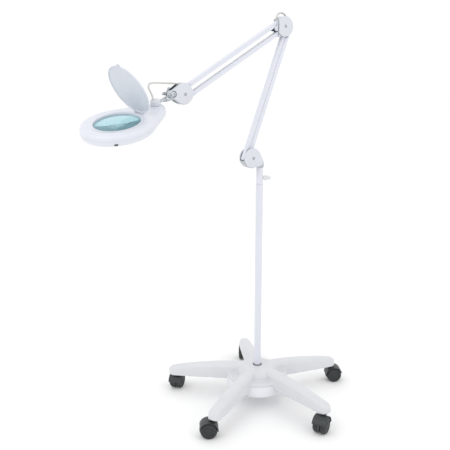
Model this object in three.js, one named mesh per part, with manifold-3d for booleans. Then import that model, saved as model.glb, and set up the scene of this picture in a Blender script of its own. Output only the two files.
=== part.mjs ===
// Rolling floor-stand magnifying lamp: five-star base on twin-wheel casters, pole, two parallelogram
// spring arms, tilting and swivelling round head with a ring light, a round lens and a flip-up lid.
// Millimetres, +Z up, +X along the reach of the arms. The arms move in the plane y = 0.
import * as THREE from 'three';
import { mergeVertices } from 'three/addons/utils/BufferGeometryUtils.js';
import Module from 'manifold-3d';

const wasm = await Module();
wasm.setup();

// ---------------------------------------------------------------- driving dimensions

const gap = 0.3;                       // clearance between faces that touch
const degree = Math.PI / 180;

const legCount = 5;
const firstLegAngle = 28 * degree;
const legRadius = 280;                 // pole axis to caster stem
const legHubHeight = 116;              // top of the star at the hub
const legTipHeight = 87;               // top of a leg at its tip
const hubUnderside = 78;
const legRootUnderside = 66;           // underside of a leg where it leaves the drum
const legTipUnderside = 57;
const legHubHalfWidth = 26;
const legTipHalfWidth = 20;
const legWall = 3.5;
const drumRadius = 98;
const drumFloor = 44;                  // underside of the weight cover above the floor
const drumWall = 2.5;

const wheelRadius = 25;
const wheelInner = 4;                  // wheel faces, measured from the middle of the caster
const wheelOuter = 21;
const casterTrail = 18;
const stemRadius = 5;
const casterHeadings = [-30, 27, 150, -126, -141].map((angle) => angle * degree);

const poleRadius = 11;
const poleBottom = 86;
const poleTop = 714;
const sleeveRadius = 10.2;
const sleeveTop = 766;
const spigotRadius = 6.25;
const thumbScrewHeight = 734;
const thumbScrewAngle = 144 * degree;

const barHalfWidth = 9;                // across the arm plane
const innerBarHalfWidth = 7.4;
const barWall = 1.2;
const barHalfHeight = 6;               // in the arm plane, also the radius of the bar ends
const pinRadius = 2.9;
const pinHole = 3.2;
const springRadius = 4;

// Arm pivots in the arm plane, as [x, z]. A bracket never turns while its arm swings.
const knuckleCentre = [36, 798];
const knuckleFoot = [10, 785];
const knuckleScrew = [34.5, 797];
const lowerOuterFoot = [44.7, 802.1];
const lowerInnerFoot = [59, 795];
const lowerOuterHead = [-96.5, 1167.1];
const elbowCentre = [-77, 1181];
const upperTopRear = [-66, 1196.3];
const upperPivotDrop = 30;
const upperArmLength = 380;
const upperArmSlope = 30.2 * degree;
const yokeCentre = [268, 991];
const clampPivot = [302, 990];

const plateInner = barHalfWidth + 0.4;
const plateOuter = plateInner + 2;
const coverInner = plateOuter + gap;
const coverOuter = coverInner + 4.5;
const coverRadius = 29.5;
const coverScrewHead = 4;
const coverScrewShank = 2;

const headPitch = 13.6 * degree;       // nose down
const headRoll = -13 * degree;         // near side down
const headSwivel = 11 * degree;
const neckDrop = 9.4;                  // neck axis below the clamp bolt
const neckReach = 50.3;                  // clamp bolt to the swivel axis of the head
const neckRadius = 4.5;
const neckCylinderRadius = 13.5;
const neckCylinderHeight = 15;

const headRadius = 99;
const headTailRadius = 34;
const headTailX = -122;                // centre of the tail's round end
const headHalfHeight = 14;
const headWall = 2.6;
const headEdge = 8;                    // rounding of the rim
const swivelX = -132.5;                // swivel axis behind the lens centre
const swivelSeat = 16.5;               // top of the seat under the neck cylinder
const lensRadius = 63.5;
const lensSightRadius = 62;
const lensPlane = 8;
const lensHalfThickness = 7.5;
const lensEdge = 1.5;
const ringOuter = 67;
const ringInner = 64.2;
const windowRadius = 84;
const tubeCircle = 80;
const tubeRadius = 8;
const lidRadius = 72;
const lidCentreX = -4;                 // middle of the closed lid
const lidThickness = 2.6;
const lidRim = 3.2;
const lidHinge = [-74.2, 18.2];         // x and z of the hinge pin in the head
const lidOpening = 72.3 * degree;

const cableRadius = 2.75;

// ---------------------------------------------------------------- shape helpers

// A closed geometry as a manifold solid.
function solid(geometry) {
  const bare = geometry.index ? geometry.toNonIndexed() : geometry.clone();
  bare.deleteAttribute('normal');
  bare.deleteAttribute('uv');
  const merged = mergeVertices(bare, 1e-4);
  const corners = Array.from(merged.index.array);
  const kept = [];
  for (let i = 0; i < corners.length; i += 3) {
    const [a, b, c] = corners.slice(i, i + 3);
    if (a !== b && b !== c && c !== a) kept.push(a, b, c);
  }
  const vertProperties = new Float32Array(merged.attributes.position.array);
  const triVerts = new Uint32Array(kept);
  return new wasm.Manifold(new wasm.Mesh({ numProp: 3, vertProperties, triVerts }));
}

function geometryOf(manifold) {
  const mesh = manifold.getMesh();
  const geometry = new THREE.BufferGeometry();
  geometry.setAttribute('position', new THREE.BufferAttribute(new Float32Array(mesh.vertProperties), 3));
  geometry.setIndex(Array.from(mesh.triVerts));
  return geometry;
}

function join(...geometries) {
  return geometryOf(geometries.map(solid).reduce((whole, piece) => whole.add(piece)));
}

function cut(body, ...tools) {
  return geometryOf(tools.map(solid).reduce((whole, tool) => whole.subtract(tool), solid(body)));
}

function overlap(body, other) {
  return geometryOf(solid(body).intersect(solid(other)));
}

// A box from its lowest to its highest corner.
function box(low, high) {
  const size = high.map((value, i) => value - low[i]);
  const middle = high.map((value, i) => (value + low[i]) / 2);
  return new THREE.BoxGeometry(...size).translate(...middle);
}

// A profile of [radius, z] points turned about the Z axis.
function turned(profile, segments) {
  const points = profile.map(([r, z]) => new THREE.Vector2(r, z));
  return new THREE.LatheGeometry(points, segments).rotateX(Math.PI / 2);
}

// A cylinder between two points.
function rod(from, to, radius, segments = 12) {
  const start = new THREE.Vector3(...from);
  const end = new THREE.Vector3(...to);
  const along = end.clone().sub(start);
  const geometry = new THREE.CylinderGeometry(radius, radius, along.length(), segments);
  const turn = new THREE.Quaternion().setFromUnitVectors(new THREE.Vector3(0, 1, 0), along.clone().normalize());
  const middle = start.add(end).multiplyScalar(0.5);
  return geometry.applyQuaternion(turn).translate(middle.x, middle.y, middle.z);
}

// A cylinder across the arm plane, from y = low to y = high.
function crossRod([x, z], low, high, radius, segments = 12) {
  return rod([x, low, z], [x, high, z], radius, segments);
}

// The outline of two circles joined by their outer tangents.
function tangentOutline([x1, y1], r1, [x2, y2], r2) {
  const heading = Math.atan2(y2 - y1, x2 - x1);
  const spread = Math.acos((r1 - r2) / Math.hypot(x2 - x1, y2 - y1));
  const outline = new THREE.Shape();
  outline.absarc(x1, y1, r1, heading + spread, heading + 2 * Math.PI - spread, false);
  outline.absarc(x2, y2, r2, heading - spread, heading + spread, false);
  return outline;
}

function circleOutline([x, y], radius) {
  return new THREE.Shape().absarc(x, y, radius, 0, 2 * Math.PI, false);
}

// A plate in the arm plane: an [x, z] outline between y = low and y = high.
function plate(outline, low, high, curveSegments = 8, bevel = 0) {
  const options = {
    depth: high - low - 2 * bevel,
    bevelEnabled: bevel > 0,
    bevelThickness: bevel,
    bevelSize: bevel,
    bevelOffset: -bevel,
    bevelSegments: 1,
    curveSegments,
  };
  const geometry = new THREE.ExtrudeGeometry(outline, options);
  return geometry.rotateX(Math.PI / 2).translate(0, high - bevel, 0);
}

// A round tube along a list of points.
function cable(points, steps) {
  const route = new THREE.CatmullRomCurve3(points.map((point) => new THREE.Vector3(...point)), false, 'centripetal');
  const section = circleOutline([0, 0], cableRadius);
  return new THREE.ExtrudeGeometry(section, { steps, extrudePath: route, curveSegments: 4 });
}

function surface(colour, roughness, metalness = 0) {
  return { color: colour, roughness, metalness };
}

const whitePlastic = surface(0xe9ebf1, 0.35);
const whiteEnamel = surface(0xe4e8f0, 0.3);
const chrome = surface(0x9aa0a6, 0.15, 1);
const steel = surface(0xb4b8bc, 0.35, 1);
const zinc = surface(0xb9bcbc, 0.5, 0.8);
const blackPlastic = surface(0x24292b, 0.5);

function part(parent, name, geometry, look) {
  const mesh = new THREE.Mesh(geometry, new THREE.MeshStandardMaterial(look));
  mesh.name = name;
  parent.add(mesh);
  return mesh;
}

const group = new THREE.Group();
const lamp = new THREE.Group();
group.add(lamp);

// ---------------------------------------------------------------- star base

const legStart = 40;
const legEnd = legRadius + legTipHalfWidth;

function legUpper(x) {
  const reach = Math.max(0, (x - 60) / (legRadius - 60));
  return legHubHeight - (legHubHeight - legTipHeight) * reach ** 1.6;
}

function legLower(x) {
  const reach = Math.max(0, (x - drumRadius) / (legRadius - drumRadius));
  return legRootUnderside - (legRootUnderside - legTipUnderside) * Math.min(1, reach);
}

// One leg along +X: a bevelled section carried from the hub to a rounded tip.
function leg(inset, top, bottom) {
  const section = new THREE.Shape();
  const corners = [[-1, 0.12], [-0.94, 0], [0.94, 0], [1, 0.12], [0.84, 0.84], [0.6, 1], [-0.6, 1], [-0.84, 0.84]];
  section.setFromPoints(corners.map(([y, z]) => new THREE.Vector2(y, z)));
  const bodySteps = 4;
  const tipSteps = 2;
  const steps = bodySteps + tipSteps;
  const geometry = new THREE.ExtrudeGeometry(section, { steps, depth: 1, bevelEnabled: false });
  const points = geometry.attributes.position;
  for (let i = 0; i < points.count; i++) {
    const ring = Math.round(points.getZ(i) * steps);
    const turn = Math.max(0, (ring - bodySteps) / tipSteps) * 75 * degree;
    const straight = legStart + (legRadius - legStart) * Math.min(1, ring / bodySteps);
    const x = straight + (legTipHalfWidth - inset) * Math.sin(turn);
    const reach = Math.min(1, (straight - legStart) / (legRadius - legStart));
    const halfWidth = (legHubHalfWidth + (legTipHalfWidth - legHubHalfWidth) * reach - inset) * Math.cos(turn);
    const low = legLower(x) - bottom;
    const high = legUpper(x) - top;
    const y = points.getX(i) * halfWidth;
    const z = low + points.getY(i) * (high - low);
    points.setXYZ(i, x, y, z);
  }
  return geometry;
}

// A five-sided block with one flat side between each pair of legs.
function hubTier(topApothem, bottomApothem, low, high) {
  const widen = 1 / Math.cos(Math.PI / legCount);
  const sides = new THREE.CylinderGeometry(topApothem * widen, bottomApothem * widen, high - low, legCount);
  // A cylinder's first corner lies along +Z before it is stood up, along -Y after.
  return sides.rotateX(Math.PI / 2).rotateZ(firstLegAngle + Math.PI / 2).translate(0, 0, (low + high) / 2);
}

const hubPlateTop = 90;
const hubRoof = 86;
const poleSocketRadius = 17;

function starBase() {
  const hub = [
    turned([[0, hubUnderside], [drumRadius, hubUnderside], [drumRadius, hubPlateTop - 3],
      [drumRadius - 3, hubPlateTop], [0, hubPlateTop]], 24),
    hubTier(66, 66, hubPlateTop - 1, 97),
    hubTier(50, 66, 97 - 0.01, legHubHeight),
  ];
  const legs = [];
  const hollows = [];
  const bosses = [];
  const bores = [];
  for (let i = 0; i < legCount; i++) {
    const angle = firstLegAngle + i * 2 * Math.PI / legCount;
    legs.push(leg(0, 0, 0).rotateZ(angle));
    hollows.push(leg(legWall, legWall, 12).rotateZ(angle));
    const x = legRadius * Math.cos(angle);
    const y = legRadius * Math.sin(angle);
    bosses.push(rod([x, y, legTipUnderside - 1], [x, y, legTipHeight - 2.5], 9, 8));
    bores.push(rod([x, y, legTipUnderside - 9], [x, y, legTipHeight - 4], stemRadius + 3 * gap, 8));
  }
  const underside = rod([0, 0, 60], [0, 0, hubRoof], drumRadius - 6, 16);
  const socket = rod([0, 0, hubRoof - 14], [0, 0, legHubHeight], poleSocketRadius, 12);
  const poleBore = rod([0, 0, 60], [0, 0, 140], poleRadius + gap, 16);
  const collarSeat = rod([0, 0, legHubHeight - 2], [0, 0, 140], 14.8, 16);
  const drumRoom = rod([0, 0, drumFloor], [0, 0, hubUnderside], drumRadius + gap, 24);
  const shell = cut(join(...hub, ...legs), underside, drumRoom, ...hollows);
  return cut(join(shell, socket, ...bosses), poleBore, collarSeat, ...bores);
}

part(lamp, 'star_base', starBase(), whitePlastic);

const weightTop = 70;
const boltRadius = 5;

part(lamp, 'weight_cover', turned([
  [boltRadius + gap, drumFloor + 3], [11, drumFloor + 3], [11, drumFloor],
  [drumRadius - 3, drumFloor], [drumRadius, drumFloor + 3],
  [drumRadius, hubUnderside - gap], [drumRadius - drumWall, hubUnderside - gap],
  [drumRadius - drumWall, drumFloor + 5], [boltRadius + gap, drumFloor + 5],
  [boltRadius + gap, drumFloor + 3],
], 24), whitePlastic);

part(lamp, 'base_weight', turned([
  [boltRadius + gap, drumFloor + 5 + gap], [drumRadius - 8, drumFloor + 5 + gap],
  [drumRadius - 8, weightTop], [boltRadius + gap, weightTop], [boltRadius + gap, drumFloor + 5 + gap],
], 16), surface(0x3a3a3c, 0.7, 0.6));

part(lamp, 'base_bolt', turned([
  [0, drumFloor + 0.2], [9, drumFloor + 0.2], [9, drumFloor + 3 - gap], [boltRadius, drumFloor + 3 - gap],
  [boltRadius, poleBottom + 12], [0, poleBottom + 12],
], 6), steel);

part(lamp, 'hub_collar', turned([
  [poleRadius + gap, legHubHeight - 2 + gap], [14.5, legHubHeight - 2 + gap],
  [14.5, legHubHeight + 1], [12.6, legHubHeight + 2.5], [poleRadius + gap, legHubHeight + 2.5],
  [poleRadius + gap, legHubHeight - 2 + gap],
], 16), surface(0x303438, 0.6));

// ---------------------------------------------------------------- casters

const guardInner = wheelRadius + 1.3;
const guardOuter = guardInner + 2.5;

// One caster: stem axis on the local Z axis, wheels trailing along local +X.
function casterHood() {
  const guardShape = new THREE.Shape();
  guardShape.absarc(casterTrail, wheelRadius, guardOuter, 20 * degree, 178 * degree, false);
  guardShape.absarc(casterTrail, wheelRadius, guardInner, 178 * degree, 20 * degree, true);
  const webShape = new THREE.Shape();
  webShape.absarc(casterTrail, wheelRadius, guardInner + 1, -20 * degree, 200 * degree, false);
  return join(
    plate(guardShape, -wheelOuter, wheelOuter, 5),
    plate(webShape, -wheelInner + 0.8, wheelInner - 0.8, 6),
    rod([0, 0, 49.4], [0, 0, legTipUnderside - 1 - gap], 8, 8),
    rod([0, 0, 52], [0, 0, legTipHeight - 6], stemRadius, 8),
    crossRod([casterTrail, wheelRadius], -18, 18, 3.4, 8),
  );
}

function casterWheel(side) {
  const bore = 3.8;
  const profile = [
    [bore, wheelInner], [wheelRadius, wheelInner], [wheelRadius, wheelOuter - 4],
    [wheelRadius - 5, wheelOuter - 0.5], [bore, wheelOuter - 0.5], [bore, wheelInner],
  ];
  const wheel = turned(profile, 16).rotateX(-side * Math.PI / 2);
  return wheel.translate(casterTrail, 0, wheelRadius);
}

for (let i = 0; i < legCount; i++) {
  const angle = firstLegAngle + i * 2 * Math.PI / legCount;
  const caster = new THREE.Group();
  caster.position.set(legRadius * Math.cos(angle), legRadius * Math.sin(angle), 0);
  caster.rotation.z = casterHeadings[i];
  lamp.add(caster);
  part(caster, `caster_${i + 1}_hood`, casterHood(), blackPlastic);
  part(caster, `caster_${i + 1}_wheel_left`, casterWheel(1), surface(0x1c1f21, 0.6));
  part(caster, `caster_${i + 1}_wheel_right`, casterWheel(-1), surface(0x1c1f21, 0.6));
}

// ---------------------------------------------------------------- pole

const spigotBottom = 704;

part(lamp, 'pole_tube', turned([
  [boltRadius + gap, poleBottom], [poleRadius, poleBottom], [poleRadius, poleTop],
  [poleRadius - 1.4, poleTop], [poleRadius - 1.4, poleBottom + 14], [boltRadius + gap, poleBottom + 14],
  [boltRadius + gap, poleBottom],
], 16), whiteEnamel);

const sleeveBody = turned([
  [0, 650], [poleRadius - 1.4 - gap, 650], [poleRadius - 1.4 - gap, poleTop + gap],
  [sleeveRadius, poleTop + gap], [sleeveRadius, sleeveTop], [spigotRadius + gap, sleeveTop],
  [spigotRadius + gap, spigotBottom - 2], [0, spigotBottom - 2],
], 12);
const screwReach = [Math.cos(thumbScrewAngle), Math.sin(thumbScrewAngle)];
const screwPoint = (distance) => [distance * screwReach[0], distance * screwReach[1], thumbScrewHeight];
part(lamp, 'pole_sleeve', cut(sleeveBody, rod(screwPoint(4), screwPoint(14), 3.1, 10)), whiteEnamel);

// Thumb screw: a threaded shank and a flat paddle to turn it by.
function thumbScrew() {
  const paddle = tangentOutline([18, 0], 8, [30, 0], 4.5);
  const blade = plate(paddle, -2, 2, 4);
  const shank = rod([spigotRadius + gap, 0, 0], [18, 0, 0], 2.8, 8);
  const shoulder = rod([sleeveRadius + 0.6, 0, 0], [16, 0, 0], 5, 10);
  return join(shank, shoulder, blade).rotateZ(thumbScrewAngle).translate(0, 0, thumbScrewHeight);
}
part(lamp, 'pole_thumb_screw', thumbScrew(), zinc);

// ---------------------------------------------------------------- arm brackets and their covers

function shifted([x, z], [dx, dz]) {
  return [x + dx, z + dz];
}

const lowerOffset = shifted(lowerInnerFoot, lowerOuterFoot.map((value) => -value));
const lowerInnerHead = shifted(lowerOuterHead, lowerOffset);
const upperReach = [upperArmLength * Math.cos(upperArmSlope), -upperArmLength * Math.sin(upperArmSlope)];
const upperTopFront = shifted(upperTopRear, upperReach);
const upperLowRear = shifted(upperTopRear, [0, -upperPivotDrop]);
const upperLowFront = shifted(upperTopFront, [0, -upperPivotDrop]);

// Two plates cut to an outline, tied by the rivet pins that the bars turn on.
function bracket(outline, pins, screwHole) {
  const plates = [plate(outline, plateInner, plateOuter, 7), plate(outline, -plateOuter, -plateInner, 7)];
  const rivets = pins.map((pin) => crossRod(pin, -plateOuter, plateOuter, pinRadius, 10));
  return cut(join(...plates, ...rivets), crossRod(screwHole, -20, 20, coverScrewShank + gap, 8));
}

function frontCover(outline, screw) {
  const body = plate(outline, coverInner, coverOuter, 9, 1.6);
  const shankHole = crossRod(screw, 0, 20, coverScrewShank + gap, 8);
  const headSeat = crossRod(screw, coverOuter - 2, 20, coverScrewHead + gap, 8);
  return cut(body, shankHole, headSeat);
}

function rearCover(outline, screw) {
  const body = plate(outline, -coverOuter, -coverInner, 9, 1.6);
  return cut(body, crossRod(screw, -coverOuter + 1.5, 0, coverScrewShank + gap, 8));
}

function coverScrew(screw) {
  const shank = crossRod(screw, -coverOuter + 1.5 + gap, coverOuter - 1, coverScrewShank, 8);
  const head = crossRod(screw, coverOuter - 2 + gap, coverOuter - 0.2, coverScrewHead, 8);
  return join(shank, head);
}

// Any notches are cut through both covers.
function coverSet(name, outline, screw, ...notches) {
  part(lamp, `${name}_cover_front`, cut(frontCover(outline, screw), ...notches), whitePlastic);
  part(lamp, `${name}_cover_rear`, cut(rearCover(outline, screw), ...notches), whitePlastic);
  part(lamp, `${name}_cover_screw`, coverScrew(screw), steel);
}

// Knuckle on top of the pole: its spigot turns in the sleeve.
function knuckleBracket() {
  const outline = tangentOutline(knuckleCentre, 28, knuckleFoot, 11.5);
  const frame = bracket(outline, [lowerOuterFoot, lowerInnerFoot], knuckleScrew);
  const [x, z] = knuckleCentre;
  const webShape = new THREE.Shape();
  webShape.absarc(x, z, 30.8, -110 * degree, -14 * degree, false);
  webShape.absarc(x, z, 29.2, -14 * degree, -110 * degree, true);
  const rimShape = new THREE.Shape();
  rimShape.absarc(x, z, 30.8, -110 * degree, -2 * degree, false);
  rimShape.absarc(x, z, 26, -2 * degree, -110 * degree, true);
  return join(
    frame,
    plate(webShape, -plateOuter, plateOuter, 8),
    plate(rimShape, plateInner, plateOuter, 8),
    plate(rimShape, -plateOuter, -plateInner, 8),
    box([-7, -plateOuter + 0.5, sleeveTop + 0.8], [12, plateOuter - 0.5, 784]),
    rod([0, 0, sleeveTop + 0.8], [0, 0, 772], sleeveRadius, 16),
    rod([0, 0, spigotBottom], [0, 0, 775], spigotRadius, 12),
  );
}

part(lamp, 'knuckle_bracket', knuckleBracket(), chrome);
coverSet('knuckle', tangentOutline(knuckleCentre, coverRadius, knuckleFoot, 12.5), knuckleScrew);

// Elbow: joins the two arms and keeps its attitude while they swing.
function elbowBracket() {
  const outline = circleOutline(elbowCentre, 28.5);
  const frame = bracket(outline, [lowerOuterHead, lowerInnerHead, upperTopRear, upperLowRear], elbowCentre);
  const lobes = [[-47, 1174, 7], [-60, 1154.5, 5]].flatMap(([x, z, radius]) => {
    const lobe = tangentOutline(elbowCentre, 12, [x, z], radius);
    return [plate(lobe, plateInner, plateOuter, 4), plate(lobe, -plateOuter, -plateInner, 4)];
  });
  return cut(join(frame, ...lobes), crossRod(elbowCentre, -20, 20, coverScrewShank + gap, 8));
}

function elbowCoverOutline() {
  const [x, z] = elbowCentre;
  const cutAngle = Math.acos(22 / coverRadius);
  return new THREE.Shape().absarc(x, z, coverRadius, cutAngle, 2 * Math.PI - cutAngle, false);
}

part(lamp, 'elbow_bracket', elbowBracket(), chrome);
coverSet('elbow', elbowCoverOutline(), elbowCentre);

// Yoke at the end of the upper arm: its plates close to a fork that holds the clamp block.
const forkRadius = 12;
const yokeScrew = [266, 989];
const clampBoltRadius = 3;
const cableWeb = [273.5, 1020];        // front face and top of the web that holds the head cable

function yokeBracket() {
  const outline = tangentOutline(yokeCentre, 29.8, clampPivot, forkRadius);
  const frame = bracket(outline, [upperTopFront, upperLowFront], yokeScrew);
  const [webX, webTop] = cableWeb;
  const web = box([webX - 2.5, -plateInner - 0.5, webTop - 10], [webX, plateInner + 0.5, webTop]);
  return cut(join(frame, web), crossRod(clampPivot, -20, 20, clampBoltRadius + gap, 10));
}

part(lamp, 'yoke_bracket', yokeBracket(), chrome);
const boltHeadRoom = crossRod(clampPivot, -20, 20, 9.3, 16);
coverSet('yoke', tangentOutline(yokeCentre, 28.2, [289, 990.4], 17), yokeScrew, boltHeadRoom);

// ---------------------------------------------------------------- spring arms

// A bar along local +X with its foot pivot at the origin: a channel with its web on one side.
function bar(length, halfWidth, halfHeight, webSide) {
  const outline = tangentOutline([0, 0], halfHeight, [length, 0], halfHeight);
  const body = plate(outline, -halfWidth, halfWidth, 4);
  const webFace = halfHeight - barWall;
  const low = webSide > 0 ? -halfHeight - 5 : -webFace;
  const high = webSide > 0 ? webFace : halfHeight + 5;
  const channel = box([-20, -halfWidth + barWall, low], [length + 20, halfWidth - barWall, high]);
  const holes = [0, length].map((x) => crossRod([x, 0], -20, 20, pinHole, 10));
  return cut(body, channel, ...holes);
}

// Turns a piece made along local +X to run from one pivot to the next.
function spanned(geometry, from, to) {
  const slope = Math.atan2(to[1] - from[1], to[0] - from[0]);
  return geometry.rotateY(-slope).translate(from[0], 0, from[1]);
}

const lowerArmLength = Math.hypot(lowerOuterHead[0] - lowerOuterFoot[0], lowerOuterHead[1] - lowerOuterFoot[1]);
const notchFrom = 7;
const notchTo = 20;

// Local +Z of a lower bar points to the rear of the lamp. Each bar is notched to pass the other's pin.
function lowerOuterBar() {
  const body = bar(lowerArmLength, barHalfWidth, barHalfHeight, 1);
  const notch = box([lowerArmLength - notchTo, -20, -20], [lowerArmLength - notchFrom, 20, -0.4]);
  return cut(body, notch);
}

function lowerInnerBar() {
  const body = bar(lowerArmLength, innerBarHalfWidth, barHalfHeight, -1);
  return cut(body, box([notchFrom, -20, 0.4], [notchTo, 20, 20]));
}

function armSpring(length, margin, height) {
  return rod([margin, 0, height], [length - margin, 0, height], springRadius, 8);
}

part(lamp, 'lower_arm_outer_bar', spanned(lowerOuterBar(), lowerOuterFoot, lowerOuterHead), whiteEnamel);
part(lamp, 'lower_arm_inner_bar', spanned(lowerInnerBar(), lowerInnerFoot, lowerInnerHead), whiteEnamel);
part(lamp, 'lower_arm_spring', spanned(armSpring(lowerArmLength, 40, 0.4), lowerInnerFoot, lowerInnerHead), steel);

part(lamp, 'upper_arm_top_bar',
  spanned(bar(upperArmLength, barHalfWidth, barHalfHeight, 1), upperTopRear, upperTopFront), whiteEnamel);
part(lamp, 'upper_arm_lower_bar',
  spanned(bar(upperArmLength, barHalfWidth, barHalfHeight, 1), upperLowRear, upperLowFront), whiteEnamel);
part(lamp, 'upper_arm_spring', spanned(armSpring(upperArmLength, 40, -0.2), upperTopRear, upperTopFront), steel);

// ---------------------------------------------------------------- clamp and neck

const neckHeading = new THREE.Vector3(Math.cos(headPitch), 0, -Math.sin(headPitch));
const neckFoot = new THREE.Vector3(clampPivot[0], 0, clampPivot[1] - neckDrop);
const lugFront = 19;
const lugRear = -7;

function neckPoint(distance) {
  return neckHeading.clone().multiplyScalar(distance).add(neckFoot).toArray();
}

// Clamp block: a barrel on the bolt with a lug below it that grips the neck.
function clampBlock() {
  const barrel = crossRod(clampPivot, -barHalfWidth, barHalfWidth, 10.5, 16);
  const lug = rod(neckPoint(lugRear), neckPoint(lugFront), 7.6, 12);
  const boltBore = crossRod(clampPivot, -20, 20, clampBoltRadius + gap, 10);
  const neckBore = rod(neckPoint(lugRear + 3), neckPoint(lugFront + 5), neckRadius + gap, 12);
  return cut(join(barrel, lug), boltBore, neckBore);
}
part(lamp, 'clamp_block', clampBlock(), chrome);

const washerFace = plateOuter + gap;
part(lamp, 'clamp_bolt', join(
  crossRod(clampPivot, -24, washerFace + 1, clampBoltRadius, 10),
  crossRod(clampPivot, washerFace, washerFace + 4.5, 8.5, 16),
), chrome);

// Wing nut on the rear end of the bolt: a hub with three finger lobes.
function wingNut() {
  const body = crossRod(clampPivot, -washerFace - 9, -washerFace, 6.5, 12);
  const lobes = [5, 100, 215].map((angle) => {
    const lobe = plate(tangentOutline([0, 0], 4.5, [14, 0], 5), -washerFace - 9, -washerFace - 5, 4);
    return lobe.rotateY(-angle * degree).translate(clampPivot[0], 0, clampPivot[1]);
  });
  return cut(join(body, ...lobes), crossRod(clampPivot, -40, 0, clampBoltRadius + gap, 10));
}
part(lamp, 'wing_nut', wingNut(), zinc);

// The neck's own frame: origin where the swivel axis meets the neck axis, +X forward, +Z up the swivel.
const neck = new THREE.Group();
neck.position.set(...neckPoint(neckReach));
neck.rotation.set(headRoll, headPitch, 0, 'YXZ');
lamp.add(neck);

const stemDepth = 8;                   // how far the stem runs into the neck cylinder
const stemEnd = -neckCylinderRadius + stemDepth;

part(neck, 'neck_stem', join(
  rod([-neckReach + lugRear + 4, 0, 0], [stemEnd, 0, 0], neckRadius, 12),
  rod([-neckReach + lugFront + 0.8, 0, 0], [-neckReach + lugFront + 6, 0, 0], 6.4, 12),
), chrome);

const neckSeat = -neckCylinderHeight / 2;
const studLength = 9;
part(neck, 'neck_cylinder', cut(
  join(
    turned([[0, neckSeat], [neckCylinderRadius, neckSeat], [neckCylinderRadius, -neckSeat - 1.5],
      [neckCylinderRadius - 1.5, -neckSeat], [0, -neckSeat]], 20),
    rod([0, 0, neckSeat - studLength], [0, 0, 0], 5, 10),
  ),
  rod([-30, 0, 0], [stemEnd + gap, 0, 0], neckRadius + gap, 12),
), whitePlastic);

// ---------------------------------------------------------------- head

// The head's own frame: origin at the middle of the lens opening, +X to the nose, +Z up through the lens.
const head = new THREE.Group();
const swivelCentreHeight = swivelSeat + 0.5 + neckCylinderHeight / 2;
const turn = new THREE.Group();
turn.rotation.z = headSwivel;
neck.add(turn);
head.position.set(-swivelX, 0, -swivelCentreHeight);
turn.add(head);

function headPuck(inset, segments, bevelSegments) {
  const outline = tangentOutline([0, 0], headRadius - inset, [headTailX, 0], headTailRadius - inset);
  const edge = headEdge - inset;
  const halfHeight = headHalfHeight - inset;
  const options = {
    depth: 2 * (halfHeight - edge),
    bevelEnabled: true,
    bevelThickness: edge,
    bevelSize: edge,
    bevelOffset: -edge,
    bevelSegments,
    curveSegments: segments,
  };
  return new THREE.ExtrudeGeometry(outline, options).translate(0, 0, -halfHeight + edge);
}

const far = 300;
const seam = 0.15;
const lidEarY = [12, 16];
const lidEarRadius = 4;
const lidBarrelHalf = 11.5;            // half the length of the lid's hinge barrel
const lidPinRadius = 1.5;

function topShell() {
  const upperHalf = overlap(headPuck(0, 14, 2), box([-far, -far, seam], [far, far, far]));
  const shell = cut(upperHalf, headPuck(headWall, 8, 1), rod([0, 0, -far], [0, 0, far], ringOuter + gap, 24));
  const seat = rod([swivelX, 0, headHalfHeight - 1], [swivelX, 0, swivelSeat], 17, 16);
  const [hingeX, hingeZ] = lidHinge;
  const ears = [-1, 1].map((side) => {
    const outline = tangentOutline([hingeX, hingeZ], lidEarRadius, [hingeX - 1, headHalfHeight - 3], lidEarRadius + 1);
    const span = lidEarY.map((value) => side * value).sort((a, b) => a - b);
    return plate(outline, ...span, 4);
  });
  const roof = box([-far, -far, -far], [far, far, headHalfHeight - headWall]);
  const fittings = cut(join(seat, ...ears), roof);
  return cut(join(shell, fittings),
    rod([swivelX, 0, 0], [swivelX, 0, far], 5 + gap, 10),
    crossRod(lidHinge, -30, 30, lidPinRadius + gap, 8),
    ...switchCutters());
}

// Push switch in the rim of the lower shell, on the near side of the nose.
const switchAngle = 49 * degree;
const switchHalfSize = [4.5, 2.2];       // along the rim and across it
const switchHeight = -8;
const switchDepth = 7;

function switchBlock(grow, inner, outer) {
  const [halfAlong, halfUp] = switchHalfSize;
  const low = [inner, -halfAlong - grow, switchHeight - halfUp - grow];
  const high = [outer, halfAlong + grow, switchHeight + halfUp + grow];
  return box(low, high).rotateZ(switchAngle);
}

function switchCutters() {
  return [switchBlock(gap, headRadius - 12, headRadius + 10)];
}

function lowerShell() {
  const lowerHalf = overlap(headPuck(0, 14, 2), box([-far, -far, -far], [far, far, -seam]));
  return cut(lowerHalf, headPuck(headWall, 8, 1),
    rod([0, 0, -far], [0, 0, far], windowRadius, 24), ...switchCutters());
}

part(head, 'head_top_shell', topShell(), whitePlastic);
part(head, 'head_lower_shell', lowerShell(), whitePlastic);
part(head, 'power_switch', switchBlock(0, headRadius - switchDepth, headRadius + 0.8), blackPlastic);

// Lens ring: the collar through the middle of the head, with a groove that holds the lens.
const grooveHalf = lensEdge + gap;
part(head, 'lens_ring', turned([
  [ringInner, -headHalfHeight + headWall + 1], [ringOuter, -headHalfHeight + headWall + 1],
  [ringOuter, headHalfHeight + gap], [ringOuter + 2, headHalfHeight + gap], [ringOuter + 2, headHalfHeight + 1],
  [lensSightRadius + 1.5, headHalfHeight + 1], [lensSightRadius, lensPlane + grooveHalf],
  [lensRadius + gap, lensPlane + grooveHalf], [lensRadius + gap, lensPlane - grooveHalf],
  [lensSightRadius, lensPlane - grooveHalf], [lensSightRadius, lensPlane - grooveHalf - 1.6],
  [ringInner, lensPlane - grooveHalf - 3.5], [ringInner, -headHalfHeight + headWall + 1],
], 24), whitePlastic);

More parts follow.
